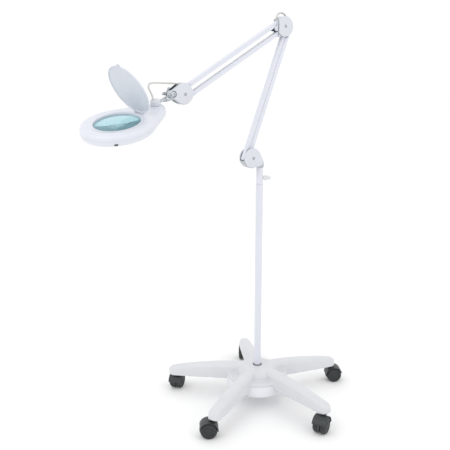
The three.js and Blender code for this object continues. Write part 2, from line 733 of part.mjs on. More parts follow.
function lensProfile() {
  const sag = lensHalfThickness - lensEdge;
  const curve = (lensRadius ** 2 + sag ** 2) / (2 * sag);
  const steps = 3;
  const upper = [];
  for (let i = 0; i <= steps; i++) {
    const r = lensRadius * i / steps;
    upper.push([r, lensHalfThickness - curve + Math.sqrt(curve ** 2 - r ** 2)]);
  }
  const lower = upper.map(([r, z]) => [r, -z]);
  return [...lower, ...upper.reverse()].map(([r, z]) => [r, z + lensPlane]);
}
part(head, 'magnifier_lens', turned(lensProfile(), 24), surface(0xb8d4d6, 0.05));

const tubeHeight = -0.5;
part(head, 'ring_light_tube',
  new THREE.TorusGeometry(tubeCircle, tubeRadius, 6, 20).translate(0, 0, tubeHeight), surface(0xf4f6f2, 0.3));

const diffuserLow = -headHalfHeight + headWall + gap;
part(head, 'light_diffuser', turned([
  [ringOuter + 1, diffuserLow], [windowRadius + 3.5, diffuserLow], [windowRadius + 3.5, diffuserLow + 2],
  [ringOuter + 1, diffuserLow + 2], [ringOuter + 1, diffuserLow],
], 24), surface(0xf2f4f4, 0.4));

// Lid: a shallow round cap with a finger tab, hinged behind the lens and standing open.
function lensLid() {
  const [hingeX, hingeZ] = lidHinge;
  const top = hingeZ + lidThickness - 1;
  const cap = turned([
    [0, top - lidThickness], [lidRadius - lidRim, top - lidThickness],
    [lidRadius - lidRim, headHalfHeight + 1.4], [lidRadius, headHalfHeight + 1.4],
    [lidRadius, top - 1.2], [lidRadius - 1.2, top], [0, top],
  ], 24).translate(lidCentreX, 0, 0);
  const front = lidCentreX + lidRadius;
  const tab = box([front - 2, -6, top - lidThickness], [front + 5, 6, top]);
  const barrel = crossRod(lidHinge, -lidBarrelHalf, lidBarrelHalf, 3.4, 10);
  const bridge = box([hingeX, -lidBarrelHalf, top - lidThickness], [hingeX + 8, lidBarrelHalf, top]);
  const earRooms = [-1, 1].map((side) => {
    const span = [lidBarrelHalf, lidEarY[1] + 0.4].map((value) => side * value).sort((a, b) => a - b);
    return box([-far, span[0], 0], [hingeX + lidEarRadius + 0.6, span[1], far]);
  });
  const bore = crossRod(lidHinge, -lidEarY[1] - 1.3, lidEarY[1] + 1.3, lidPinRadius + gap, 8);
  const lid = cut(join(cut(cap, ...earRooms), tab, barrel, bridge), bore);
  return lid.translate(-hingeX, 0, -hingeZ).rotateY(-lidOpening).translate(hingeX, 0, hingeZ);
}
part(head, 'lens_lid', lensLid(), whitePlastic);
part(head, 'lid_hinge_pin', crossRod(lidHinge, -lidEarY[1] - 1, lidEarY[1] + 1, lidPinRadius, 8), steel);

// ---------------------------------------------------------------- flexible leads

part(lamp, 'head_cable', cable([
  [274.2, 0, 1016.5], [284, 0, 1018], [300, 0, 1019], [330, 0, 1020], [356, 0, 1020.5],
  [367, 0.5, 1018.5], [370.5, 1, 1011], [368, 1.8, 1002], [362.5, 2.8, 991], [359.5, 3, 980.5], [358.3, 2, 975.5],
], 24), surface(0xc4c4bc, 0.5));

part(lamp, 'elbow_cable', cable([
  [-55.3, 0, 1198], [-53.4, 0, 1203], [-55.5, 0, 1211], [-63, 0, 1217.8], [-73, 0, 1219.8], [-82.5, 0, 1217],
  [-89.5, 0, 1210], [-93, 0, 1201], [-94.5, 0, 1191],
], 18), surface(0xc4c4bc, 0.5));

// ---------------------------------------------------------------- placing

// The lamp stands with its bounding box centred on the origin and its wheels on z = 0.
lamp.updateMatrixWorld(true);
const extent = new THREE.Box3().setFromObject(lamp, true);
lamp.position.set(-(extent.min.x + extent.max.x) / 2, -(extent.min.y + extent.max.y) / 2, -extent.min.z);
group.updateMatrixWorld(true);

export default group;
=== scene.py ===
"""Looks of a rolling floor-stand magnifying lamp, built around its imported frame."""
import math
import bmesh
import bpy
from mathutils import Matrix, Vector


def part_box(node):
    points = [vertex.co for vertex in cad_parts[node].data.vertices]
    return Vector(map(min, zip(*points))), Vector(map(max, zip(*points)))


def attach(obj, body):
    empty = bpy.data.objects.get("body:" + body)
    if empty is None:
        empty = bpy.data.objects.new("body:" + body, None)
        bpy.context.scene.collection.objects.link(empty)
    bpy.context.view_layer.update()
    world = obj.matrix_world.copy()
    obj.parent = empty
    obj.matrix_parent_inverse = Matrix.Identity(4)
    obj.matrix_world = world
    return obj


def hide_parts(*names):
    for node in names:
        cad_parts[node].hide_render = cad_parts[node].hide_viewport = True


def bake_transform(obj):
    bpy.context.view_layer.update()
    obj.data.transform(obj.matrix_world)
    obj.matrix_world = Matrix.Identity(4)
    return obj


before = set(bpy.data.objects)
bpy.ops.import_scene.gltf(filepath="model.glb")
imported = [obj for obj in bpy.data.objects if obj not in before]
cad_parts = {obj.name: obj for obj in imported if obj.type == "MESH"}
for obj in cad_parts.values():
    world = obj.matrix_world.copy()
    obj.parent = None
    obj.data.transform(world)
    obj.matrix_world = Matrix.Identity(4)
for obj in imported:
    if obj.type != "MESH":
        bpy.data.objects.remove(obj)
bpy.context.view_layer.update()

SCENE = bpy.context.scene
DEG = math.pi / 180
MM = 0.001

# Pieces are drawn in millimetres from the foot of the pole axis, as the frame was, then moved into place.
pole_low, pole_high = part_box("pole_tube")
POLE = (pole_low + pole_high) / 2
DESIGN = Matrix.Translation((POLE.x, POLE.y, 0)) @ Matrix.Scale(MM, 4)
# Takes (u, v, height) to (x, y, z) so that an outline lies in the arm plane.
ARM_PLANE = Matrix(((1, 0, 0, 0), (0, 0, 1, 0), (0, 1, 0, 0), (0, 0, 0, 1)))
TO_Y = Matrix.Rotation(-90 * DEG, 4, "X")
TO_X = Matrix.Rotation(90 * DEG, 4, "Y")


def move(x, y, z):
    return Matrix.Translation((x, y, z))


def turn(angle, axis):
    return Matrix.Rotation(angle * DEG, 4, axis)


# ---------------------------------------------------------------- camera

CAMERA_PLACE = DESIGN @ Vector((1157, 1592, 1042))
CAMERA_LOOK = Vector((-0.5293, -0.8176, -0.2267))
CAMERA_LENS = 51.7

camera_data = bpy.data.cameras.new("camera")
camera_data.lens = CAMERA_LENS
camera_data.sensor_width = 36
camera_data.clip_end = 50
camera = bpy.data.objects.new("camera", camera_data)
camera.location = CAMERA_PLACE
camera.rotation_euler = CAMERA_LOOK.to_track_quat("-Z", "Y").to_euler()
SCENE.collection.objects.link(camera)
SCENE.camera = camera


# ---------------------------------------------------------------- materials

def finish(name, colour, rough, metal=0.0, vary=0.04, cloud=18.0, grain=0.0, grain_scale=1500.0,
           rough_vary=0.06, coat=0.0, scuff=0.0):
    """A finish with slow colour drift, uneven gloss, fine surface grain and, where asked, scuffs."""
    material = bpy.data.materials.new(name)
    material.use_nodes = True
    nodes = material.node_tree.nodes
    links = material.node_tree.links
    shader = nodes["Principled BSDF"]
    shader.inputs["Metallic"].default_value = metal
    shader.inputs["Coat Weight"].default_value = coat
    shader.inputs["Coat Roughness"].default_value = 0.12
    place = nodes.new("ShaderNodeTexCoord")

    drift = nodes.new("ShaderNodeTexNoise")
    drift.inputs["Scale"].default_value = cloud
    drift.inputs["Detail"].default_value = 5
    links.new(place.outputs["Object"], drift.inputs["Vector"])
    ramp = nodes.new("ShaderNodeValToRGB")
    low, high = ramp.color_ramp.elements
    low.position, high.position = 0.3, 0.7
    low.color = [c * (1 - vary) for c in colour] + [1]
    high.color = [min(1, c * (1 + vary)) for c in colour] + [1]
    links.new(drift.outputs["Fac"], ramp.inputs["Fac"])
    paint = ramp.outputs["Color"]

    gloss = nodes.new("ShaderNodeMapRange")
    gloss.inputs["From Min"].default_value = 0.3
    gloss.inputs["From Max"].default_value = 0.7
    gloss.inputs["To Min"].default_value = max(0.02, rough - rough_vary)
    gloss.inputs["To Max"].default_value = rough + rough_vary
    smear = nodes.new("ShaderNodeTexNoise")
    smear.inputs["Scale"].default_value = cloud * 4
    smear.inputs["Detail"].default_value = 6
    links.new(place.outputs["Object"], smear.inputs["Vector"])
    links.new(smear.outputs["Fac"], gloss.inputs["Value"])
    links.new(gloss.outputs["Result"], shader.inputs["Roughness"])

    if scuff:
        marks = nodes.new("ShaderNodeTexNoise")
        marks.inputs["Scale"].default_value = 130
        marks.inputs["Detail"].default_value = 9
        marks.inputs["Roughness"].default_value = 0.75
        links.new(place.outputs["Object"], marks.inputs["Vector"])
        edge = nodes.new("ShaderNodeMapRange")
        edge.inputs["From Min"].default_value = 0.56
        edge.inputs["From Max"].default_value = 0.72
        edge.inputs["To Max"].default_value = scuff
        links.new(marks.outputs["Fac"], edge.inputs["Value"])
        worn = nodes.new("ShaderNodeMixRGB")
        worn.inputs["Color2"].default_value = [min(1, c * 2.6 + 0.03) for c in colour] + [1]
        links.new(edge.outputs["Result"], worn.inputs["Fac"])
        links.new(paint, worn.inputs["Color1"])
        paint = worn.outputs["Color"]
    links.new(paint, shader.inputs["Base Color"])

    if grain:
        fine = nodes.new("ShaderNodeTexNoise")
        fine.inputs["Scale"].default_value = grain_scale
        fine.inputs["Detail"].default_value = 3
        links.new(place.outputs["Object"], fine.inputs["Vector"])
        bump = nodes.new("ShaderNodeBump")
        bump.inputs["Strength"].default_value = grain
        bump.inputs["Distance"].default_value = 0.00015
        links.new(fine.outputs["Fac"], bump.inputs["Height"])
        links.new(bump.outputs["Normal"], shader.inputs["Normal"])
    return material


def glass(name, colour, rough, ior, clear):
    material = finish(name, colour, rough, vary=0.01, rough_vary=0.01)
    shader = material.node_tree.nodes["Principled BSDF"]
    shader.inputs["Transmission Weight"].default_value = clear
    shader.inputs["IOR"].default_value = ior
    return material


WHITE = finish("white_moulding", (0.65, 0.67, 0.72), 0.36, rough_vary=0.02, vary=0.015, coat=0.1)
STAR_WHITE = finish("star_moulding", (0.66, 0.67, 0.70), 0.42, rough_vary=0.03, vary=0.02, grain=0.02, coat=0.05)
DRUM_WHITE = finish("drum_moulding", (0.80, 0.81, 0.85), 0.42, rough_vary=0.03, vary=0.02, coat=0.05)
HEAD_WHITE = finish("head_moulding", (0.70, 0.72, 0.78), 0.34, rough_vary=0.02, vary=0.015, coat=0.1)
LID_WHITE = finish("lid_moulding", (0.66, 0.68, 0.74), 0.42, grain=0.05, vary=0.015)
ENAMEL = finish("white_enamel", (0.69, 0.71, 0.78), 0.3, rough_vary=0.02, vary=0.015, coat=0.3)
HOOD_DARK = finish("caster_nylon", (0.030, 0.036, 0.038), 0.42, grain=0.25, grain_scale=1100, vary=0.12, scuff=0.25)
TREAD = finish("caster_tread", (0.022, 0.026, 0.028), 0.55, grain=0.3, grain_scale=800, vary=0.15, scuff=0.45)
CHROME = finish("chrome", (0.50, 0.53, 0.56), 0.13, metal=1, grain=0.04, rough_vary=0.05)
STEEL = finish("bright_steel", (0.52, 0.53, 0.55), 0.30, metal=1, grain=0.08)
ZINC = finish("cast_zinc", (0.70, 0.71, 0.72), 0.45, metal=0.75, grain=0.3, grain_scale=600)
IRON = finish("weight_iron", (0.05, 0.05, 0.055), 0.7, metal=0.6, grain=0.6, grain_scale=500)
# The collar's near-black is painted shade: it stands in for the shadow in the gap where the pole enters the hub.
DARK_COLLAR_PAINTED_SHADE = finish("collar_painted_shade", (0.10, 0.11, 0.13), 0.5, grain=0.2)
CABLE = finish("lead_sheath", (0.62, 0.63, 0.60), 0.46, grain=0.15, grain_scale=900)
TUBE = finish("phosphor_tube", (0.90, 0.91, 0.90), 0.16, coat=0.8, vary=0.01)
DIFFUSER = finish("opal_diffuser", (0.86, 0.88, 0.88), 0.35, grain=0.2, grain_scale=500)
LENS = glass("lens_glass", (0.50, 0.79, 0.86), 0.02, 1.5, 0.82)


# ---------------------------------------------------------------- mesh helpers

def strip(bm, low, high):
    """Faces between two rings. Either ring may be a single point."""
    count = max(len(low), len(high))
    for i in range(count):
        j = (i + 1) % count
        corners = [low[i % len(low)], low[j % len(low)], high[j % len(high)], high[i % len(high)]]
        unique = list(dict.fromkeys(corners))
        if len(unique) > 2:
            bm.faces.new(unique)


def skin(rings, closed=False):
    """A surface through rings of points. Open ends with more than one point are capped."""
    bm = bmesh.new()
    made = [[bm.verts.new(p) for p in ring] for ring in rings]
    for low, high in zip(made, made[1:]):
        strip(bm, low, high)
    if closed:
        strip(bm, made[-1], made[0])
    else:
        for ring in (made[0], made[-1]):
            if len(ring) > 2:
                bm.faces.new(ring)
    return bm


def as_object(name, bm, matrix=None):
    if matrix is not None:
        bm.transform(matrix)
    bmesh.ops.recalc_face_normals(bm, faces=bm.faces)
    mesh = bpy.data.meshes.new(name)
    bm.to_mesh(mesh)
    bm.free()
    obj = bpy.data.objects.new(name, mesh)
    SCENE.collection.objects.link(obj)
    return obj


def fillet(points, radius, steps=3, closed=True):
    """The polyline with each corner rounded. Corners on the axis stay sharp."""
    out = []
    last = len(points) - 1
    for i, point in enumerate(points):
        here = Vector(point)
        if not closed and i in (0, last):
            out.append(tuple(here))
            continue
        before = Vector(points[i - 1])
        after = Vector(points[(i + 1) % len(points)])
        reach = min(radius, 0.45 * (before - here).length, 0.45 * (after - here).length)
        if reach < 0.02 or here[0] < 1e-6:
            out.append(tuple(here))
            continue
        start = here + (before - here).normalized() * reach
        end = here + (after - here).normalized() * reach
        for k in range(steps + 1):
            t = k / steps
            out.append(tuple(start * (1 - t) ** 2 + here * 2 * t * (1 - t) + end * t ** 2))
    return out


def revolve(profile, segments=64, closed=False):
    """Turns a profile of (radius, z) about Z."""
    rings = []
    for radius, z in profile:
        if radius < 1e-6:
            rings.append([(0, 0, z)])
        else:
            step = 2 * math.pi / segments
            rings.append([(radius * math.cos(i * step), radius * math.sin(i * step), z)
                          for i in range(segments)])
    return skin(rings, closed)


def lathe(name, profile, radius=0.5, segments=64, closed=False, matrix=None):
    return as_object(name, revolve(fillet(profile, radius, closed=closed), segments, closed), matrix)


def round_layers(low, high, radius, steps=4):
    """(inset, height) pairs for a slab with rounded edges."""
    bottom = []
    for i in range(steps + 1):
        angle = i / steps * math.pi / 2
        bottom.append((radius * (1 - math.sin(angle)), radius * (1 - math.cos(angle))))
    return [(inset, low + h) for inset, h in bottom] + [(inset, high - h) for inset, h in reversed(bottom)]


def slab(name, outline, low, high, radius, matrix=ARM_PLANE, steps=4):
    """A slab with rounded edges. outline(inset) gives its (u, v) points, always as many."""
    layers = round_layers(low, high, radius, steps)
    rings = [[(u, v, height) for u, v in outline(inset)] for inset, height in layers]
    return as_object(name, skin(rings), matrix)


def circle(centre, radius, count=72):
    step = 2 * math.pi / count

    def outline(inset):
        return [(centre[0] + (radius - inset) * math.cos(i * step),
                 centre[1] + (radius - inset) * math.sin(i * step)) for i in range(count)]
    return outline


def tangent(first, r1, second, r2, count=40):
    """Two circles joined by their outer tangents."""
    heading = math.atan2(second[1] - first[1], second[0] - first[0])
    spread = math.acos((r1 - r2) / math.dist(first, second))

    def arc(centre, radius, start, end):
        angles = [start + (end - start) * i / (count - 1) for i in range(count)]
        return [(centre[0] + radius * math.cos(a), centre[1] + radius * math.sin(a)) for a in angles]

    def outline(inset):
        return (arc(first, r1 - inset, heading + spread, heading + 2 * math.pi - spread)
                + arc(second, r2 - inset, heading - spread, heading + spread))
    return outline


def block(name, low, high, matrix=None):
    """A cutting block from its lowest to its highest corner."""
    bm = bmesh.new()
    bmesh.ops.create_cube(bm, size=1)
    for v in bm.verts:
        v.co = Vector([low[i] if v.co[i] < 0 else high[i] for i in range(3)])
    return as_object(name, bm, matrix)


def drum(name, radius, low, high, matrix=None, segments=48):
    """A plain round tool along Z."""
    return as_object(name, revolve([(0, low), (radius, low), (radius, high), (0, high)], segments), matrix)


def bake(obj):
    """Applies an object's modifiers."""
    graph = bpy.context.evaluated_depsgraph_get()
    mesh = bpy.data.meshes.new_from_object(obj.evaluated_get(graph))
    obj.modifiers.clear()
    obj.data = mesh
    return obj


def combine(operation, body, *tools):
    for tool in tools:
        modifier = body.modifiers.new("shape", "BOOLEAN")
        modifier.operation = operation
        modifier.solver = "EXACT"
        modifier.object = tool
    bake(body)
    for tool in tools:
        bpy.data.objects.remove(tool)
    return body


def cut(body, *tools):
    return combine("DIFFERENCE", body, *tools)


def union(body, *tools):
    return combine("UNION", body, *tools)


def soften(obj, width, angle=40, segments=2):
    modifier = obj.modifiers.new("edges", "BEVEL")
    modifier.width = width
    modifier.segments = segments
    modifier.limit_method = "ANGLE"
    modifier.angle_limit = angle * DEG
    return bake(obj)


def settle(obj, body, material, replaces=(), matrix=None, sharp=34):
    """Puts a drawn piece in the frame, smooths it, paints it and hangs it on its body."""
    bm = bmesh.new()
    bm.from_mesh(obj.data)
    bm.transform(DESIGN @ matrix if matrix is not None else DESIGN)
    bmesh.ops.remove_doubles(bm, verts=bm.verts, dist=2e-6)
    bmesh.ops.recalc_face_normals(bm, faces=bm.faces)
    for face in bm.faces:
        face.smooth = True
    for edge in bm.edges:
        edge.smooth = len(edge.link_faces) == 2 and edge.calc_face_angle(0) < sharp * DEG
    bm.to_mesh(obj.data)
    bm.free()
    obj.data.materials.clear()
    obj.data.materials.append(material)
    if body:
        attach(obj, body)
    if replaces:
        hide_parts(*replaces)
    return obj


def route(points, per_span=8):
    """Centripetal Catmull-Rom points through the given ones."""
    p = [Vector(q) for q in points]
    p = [p[0] * 2 - p[1]] + p + [p[-1] * 2 - p[-2]]
    out = []
    for i in range(1, len(p) - 2):
        a, b, c, d = p[i - 1:i + 3]
        t1 = math.sqrt((b - a).length)
        t2 = t1 + math.sqrt((c - b).length)
        t3 = t2 + math.sqrt((d - c).length)
        for k in range(per_span):
            t = t1 + (t2 - t1) * k / per_span
            a1 = a * ((t1 - t) / t1) + b * (t / t1)
            a2 = b * ((t2 - t) / (t2 - t1)) + c * ((t - t1) / (t2 - t1))
            a3 = c * ((t3 - t) / (t3 - t2)) + d * ((t - t2) / (t3 - t2))
            b1 = a1 * ((t2 - t) / t2) + a2 * (t / t2)
            b2 = a2 * ((t3 - t) / (t3 - t1)) + a3 * ((t - t1) / (t3 - t1))
            out.append(b1 * ((t2 - t) / (t2 - t1)) + b2 * ((t - t1) / (t2 - t1)))
    return out + [p[-2]]


def tube(name, points, radius, sides=16):
    """A round tube along points, with a frame carried along it without twist."""
    rings = []
    normal = None
    for i, here in enumerate(points):
        ahead = points[min(i + 1, len(points) - 1)] - points[max(i - 1, 0)]
        ahead.normalize()
        if normal is None:
            normal = ahead.orthogonal().normalized()
        normal = (normal - ahead * normal.dot(ahead)).normalized()
        side = ahead.cross(normal)
        rings.append([here + (normal * math.cos(a) + side * math.sin(a)) * radius
                      for a in (2 * math.pi * k / sides for k in range(sides))])
    return as_object(name, skin(rings))


# ---------------------------------------------------------------- leads

LEAD_RADIUS = 2.65
HEAD_LEAD = [
    (274.2, 0, 1016.5), (284, 0, 1018), (300, 0, 1019), (330, 0, 1020), (356, 0, 1020.5),
    (367, 0.5, 1018.5), (370.5, 1, 1011), (368, 1.8, 1002), (362.5, 2.8, 991), (359.5, 3, 980.5), (358.3, 2, 975.5),
]
ELBOW_LEAD = [
    (-55.3, 0, 1198), (-53.4, 0, 1203), (-55.5, 0, 1211), (-63, 0, 1217.8), (-73, 0, 1219.8), (-82.5, 0, 1217),
    (-89.5, 0, 1210), (-93, 0, 1201), (-94.5, 0, 1191),
]
LEAD_SPLIT = 5


def lead(name, points, nodes):
    path = route(points)
    piece = settle(tube(name, path, LEAD_RADIUS), None, CABLE, nodes)
    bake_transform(piece)


lead("head_lead_run", HEAD_LEAD[:LEAD_SPLIT + 1], ["head_cable"])
lead("head_lead_drop", HEAD_LEAD[LEAD_SPLIT:], [])
lead("elbow_lead", ELBOW_LEAD, ["elbow_cable"])


# ---------------------------------------------------------------- star base

LEGS = 5
FIRST_LEG = 28
LEG_RADIUS = 280
HUB_TOP, TIP_TOP = 116, 87
HUB_UNDER, ROOT_UNDER, TIP_UNDER = 78, 66, 57
DRUM_RADIUS, DRUM_FLOOR = 98, 44
DRUM_LIP = 81                # the drum's lip stands up inside the rounded edge of the hub
LEG_SECTION = [(-1, 0.12), (-0.94, 0), (0.94, 0), (1, 0.12), (0.95, 0.5), (0.85, 0.82), (0.6, 1), (0, 1.03),
               (-0.6, 1), (-0.85, 0.82), (-0.95, 0.5)]


def leg_upper(x):
    return HUB_TOP - (HUB_TOP - TIP_TOP) * max(0, (x - 60) / (LEG_RADIUS - 60)) ** 1.6


def leg_lower(x):
    return ROOT_UNDER - (ROOT_UNDER - TIP_UNDER) * min(1, max(0, (x - DRUM_RADIUS) / (LEG_RADIUS - DRUM_RADIUS)))


def star_leg(name, inset, top, bottom, angle):
    """One leg: a bevelled section carried outwards to a rounded tip."""
    rings = []
    for i in range(31):
        along = min(1, i / 22)
        tip = max(0, (i - 22) / 8) * 82 * DEG
        straight = 40 + (LEG_RADIUS - 40) * along
        x = straight + (20 - inset) * math.sin(tip)
        half = (26 - 6 * along - inset) * math.cos(tip)
        low = leg_lower(x) - bottom
        high = leg_upper(x) - top - 0.8
        if top == 0:
            low += 6 * (1 - math.cos(tip))
            high -= 6 * (1 - math.cos(tip))
        rings.append([(x, y * half, low + z * (high - low)) for y, z in LEG_SECTION])
    return as_object(name, skin(rings), turn(angle, "Z"))


def prism(name, top, bottom, low, high):
    """A five-sided block with a flat side between each pair of legs."""
    rings = []
    for apothem, z in ((bottom, low), (top, high)):
        radius = apothem / math.cos(math.pi / LEGS)
        rings.append([(radius * math.cos((FIRST_LEG + i * 72) * DEG),
                       radius * math.sin((FIRST_LEG + i * 72) * DEG), z) for i in range(LEGS)])
    return as_object(name, skin(rings))


def merged(pieces):
    """One object holding all the pieces."""
    body = pieces[0]
    bm = bmesh.new()
    for piece in pieces:
        bm.from_mesh(piece.data)
    bm.to_mesh(body.data)
    bm.free()
    for piece in pieces[1:]:
        bpy.data.objects.remove(piece)
    return body


def cast(pieces, voxel):
    """The pieces as one closed skin."""
    body = merged(pieces)
    modifier = body.modifiers.new("mould", "REMESH")
    modifier.mode = "VOXEL"
    modifier.voxel_size = voxel
    return bake(body)


VOXEL_QUICK, VOXEL_FINE, VOXEL_HOLLOW = 3.0, 1.9, 2.7
BORE, STEM_BORE = 11.3, 5.4


def star_base():
    disc = lathe("star_base_moulding", [(0, HUB_UNDER), (DRUM_RADIUS, HUB_UNDER), (DRUM_RADIUS, 87),
                                        (DRUM_RADIUS - 3, 90), (0, 90)], 2, 96)
    tips = [(LEG_RADIUS * math.cos(a), LEG_RADIUS * math.sin(a))
            for a in ((FIRST_LEG + 72 * i) * DEG for i in range(LEGS))]
    legs = [star_leg("leg", 0, 0, 0, FIRST_LEG + 72 * i) for i in range(LEGS)]
    body = cast([disc, prism("tier", 66, 66, 85, 97), prism("roof", 50, 66, 96.9, HUB_TOP), *legs],
                VOXEL_FINE)
    modifier = body.modifiers.new("flow", "SMOOTH")
    modifier.factor = 0.5
    modifier.iterations = 5
    bake(body)
    hollows = [star_leg("hollow", 3.8, 3.8, 12, FIRST_LEG + 72 * i) for i in range(LEGS)]
    room = drum("drum_room", DRUM_RADIUS + 0.4, 40, HUB_UNDER - 0.1, segments=96)
    cut(body, cast([drum("well", DRUM_RADIUS - 6, 60, 86), *hollows], VOXEL_HOLLOW), room)
    union(body, drum("socket", 17, 72, 115),
          *[drum("boss", 9, TIP_UNDER - 1, 84.5, move(x, y, 0)) for x, y in tips])
    return cut(body, drum("bore", BORE, 60, 140), drum("seat", 14.8, HUB_TOP - 2, 140),
               *[drum("stem_bore", STEM_BORE, 40, 82, move(x, y, 0)) for x, y in tips])


settle(star_base(), "base", STAR_WHITE, ["star_base"], sharp=50)

BOLT = 5.3
settle(lathe("weight_drum", [
    (BOLT, DRUM_FLOOR + 3), (11, DRUM_FLOOR + 3), (11, DRUM_FLOOR), (DRUM_RADIUS - 4, DRUM_FLOOR),
    (DRUM_RADIUS - 0.4, DRUM_FLOOR + 4), (DRUM_RADIUS - 0.3, 74), (DRUM_RADIUS - 0.7, DRUM_LIP),
    (DRUM_RADIUS - 2.5, DRUM_LIP), (DRUM_RADIUS - 2.5, DRUM_FLOOR + 5), (BOLT, DRUM_FLOOR + 5),
], 1.6, 96, True), "base", DRUM_WHITE, ["weight_cover"])

settle(lathe("weight_disc", [
    (BOLT, 49.3), (90, 49.3), (90, 70), (BOLT, 70),
], 2, 64, True), "base", IRON, ["base_weight"])

# A dark ring at the pole's foot, coloured as painted shade for the gap round the pole.
settle(lathe("pole_collar", [
    (BORE, 114.3), (14.5, 114.3), (14.5, 117), (12.6, 118.5), (BORE, 118.5),
], 0.6, 64, True), "base", DARK_COLLAR_PAINTED_SHADE, ["hub_collar"])


def hexagon(radius, count=6):
    """The outline of a hexagon."""
    step = 2 * math.pi / count
    return lambda inset: [((radius - inset) * math.cos(i * step), (radius - inset) * math.sin(i * step))
                          for i in range(count)]


bolt = slab("drum_bolt", hexagon(9), 44.2, 46.7, 0.6, Matrix())
union(bolt, drum("shank", 4.8, 46, 98))
settle(bolt, "base", STEEL, ["base_bolt"])

# ---------------------------------------------------------------- casters

TRAIL, WHEEL = 18, 25
HEADINGS = [-30, 27, 150, -126, -141]


def sector(name, r1, r2, start, end, low, high, radius, count=36):
    """A curved bar about Y through the wheel centre, with rounded edges."""
    section = fillet([(r1, low), (r2, low), (r2, high), (r1, high)], radius, 3)
    rings = []
    for i in range(count + 1):
        angle = (start + (end - start) * i / count) * DEG
        rings.append([(TRAIL + r * math.cos(angle), y, WHEEL + r * math.sin(angle)) for r, y in section])
    return as_object(name, skin(rings))


def caster_hood():
    web = slab("web", lambda inset: [
        (TRAIL + (27.6 - inset) * math.cos((-24 + 228 * i / 48) * DEG),
         WHEEL + (27.6 - inset) * math.sin((-24 + 228 * i / 48) * DEG)) for i in range(49)
    ], -3.2, 3.2, 0.8)
    fender = sector("fender", 26.3, 28.8, 20, 178, -21, 21, 1.1)
    neck = lathe("neck", [(0, 50), (9.5, 50), (8, 53.5), (8, 55.6), (0, 55.6)], 0.8, 40)
    stem = drum("stem", 4.9, 50, 80.5)
    axle = drum("axle", 3.3, -17.8, 17.8, move(TRAIL, 0, WHEEL) @ TO_Y)
    return union(web, fender, neck, stem, axle)


def caster_wheel(side):
    profile = [(3.7, 4), (23.8, 4), (WHEEL, 5.4), (WHEEL, 9.2), (24.2, 9.8), (24.2, 10.6), (WHEEL, 11.2),
               (WHEEL, 15.6), (22.6, 19.4), (20.2, 20.4), (17.6, 20.4), (17, 19.2), (9.4, 19.6), (8.8, 20.5),
               (3.7, 20.5)]
    face = as_object("wheel", revolve(fillet(profile, 0.7, 2), 64, True))
    spokes = []
    for k in range(5):
        spokes.append(block("pocket", (10.6, -1.9, 18.6), (15.6, 1.9, 22), turn(72 * k, "Z")))
    cut(face, *spokes)
    cap = lathe("cap", [(0, 18), (5.6, 18), (5.6, 20.2), (3.8, 20.5), (0, 20.5)], 0.5, 40)
    union(face, cap)
    face.data.transform(move(TRAIL, 0, WHEEL) @ turn(-90 * side, "X"))
    return face


hood_master = caster_hood()
wheel_masters = {"left": caster_wheel(1), "right": caster_wheel(-1)}
for i in range(LEGS):
    angle = (FIRST_LEG + 72 * i) * DEG
    at = move(LEG_RADIUS * math.cos(angle), LEG_RADIUS * math.sin(angle), 0) @ turn(HEADINGS[i], "Z")
    number = i + 1
    masters = [("hood", hood_master, f"caster_{number}", HOOD_DARK, "dark_plastic", f"caster_{number}_hood")]
    for side, master in wheel_masters.items():
        masters.append((f"wheel_{side}", master, f"caster_{number}_{side}", TREAD, "wheel_tread",
                        f"caster_{number}_wheel_{side}"))
    for kind, master, body, material, slot, node in masters:
        copy = bpy.data.objects.new(f"castor_{number}_{kind}", master.data.copy())
        SCENE.collection.objects.link(copy)
        settle(copy, body, material, [node], at)
for master in (hood_master, *wheel_masters.values()):
    bpy.data.objects.remove(master)

# ---------------------------------------------------------------- pole

settle(lathe("pole_shaft", [
    (5.3, 86), (11, 86), (11, 713.9), (9.6, 713.9), (9.6, 100), (5.3, 100),
], 0.7, 64, True), "base", ENAMEL, ["pole_tube"])

THUMB_HEIGHT, THUMB_ANGLE = 734, 144
SLEEVE_TOP = 766
sleeve = lathe("pole_socket", [
    (6.55, 702.5), (9.3, 702.5), (9.3, 714.3), (10.2, 714.3), (10.2, SLEEVE_TOP), (6.55, SLEEVE_TOP),
], 0.6, 64, True)
thumb_at = move(0, 0, THUMB_HEIGHT) @ turn(THUMB_ANGLE, "Z")
cut(sleeve, drum("hole", 3.1, 4, 14, thumb_at @ TO_X))
settle(sleeve, "base", ENAMEL, ["pole_sleeve"])

thumb = slab("thumb_paddle", tangent((18, 0), 8, (30, 0), 4.5), -2, 2, 1.2)
union(thumb, lathe("shoulder", [(0, 10.9), (5, 10.9), (5, 14), (3.6, 18), (0, 18)], 0.5, 40, matrix=TO_X),
      drum("shank", 2.8, 6.6, 14, TO_X))
settle(thumb, "thumb_screw", ZINC, ["pole_thumb_screw"], thumb_at)

# ---------------------------------------------------------------- arm pivots

KNUCKLE, KNUCKLE_FOOT = (36, 798), (10, 785)
KNUCKLE_SCREW = (34.5, 797)
OUTER_FOOT, INNER_FOOT = (44.7, 802.1), (59, 795)
OUTER_HEAD = (-96.5, 1167.1)
INNER_HEAD = (OUTER_HEAD[0] + INNER_FOOT[0] - OUTER_FOOT[0], OUTER_HEAD[1] + INNER_FOOT[1] - OUTER_FOOT[1])
ELBOW = (-77, 1181)
TOP_REAR, LOW_REAR = (-66, 1196.3), (-66, 1166.3)
UPPER_LENGTH, UPPER_SLOPE = 380, 30.2 * DEG
TOP_FRONT = (TOP_REAR[0] + UPPER_LENGTH * math.cos(UPPER_SLOPE),
             TOP_REAR[1] - UPPER_LENGTH * math.sin(UPPER_SLOPE))
LOW_FRONT = (TOP_FRONT[0], TOP_FRONT[1] - 30)
YOKE = (268, 991)
YOKE_SCREW = (266, 989)
CLAMP = (302, 990)
PLATE_IN, PLATE_OUT = 9.4, 11.4
COVER_IN, COVER_OUT = 11.7, 16.2


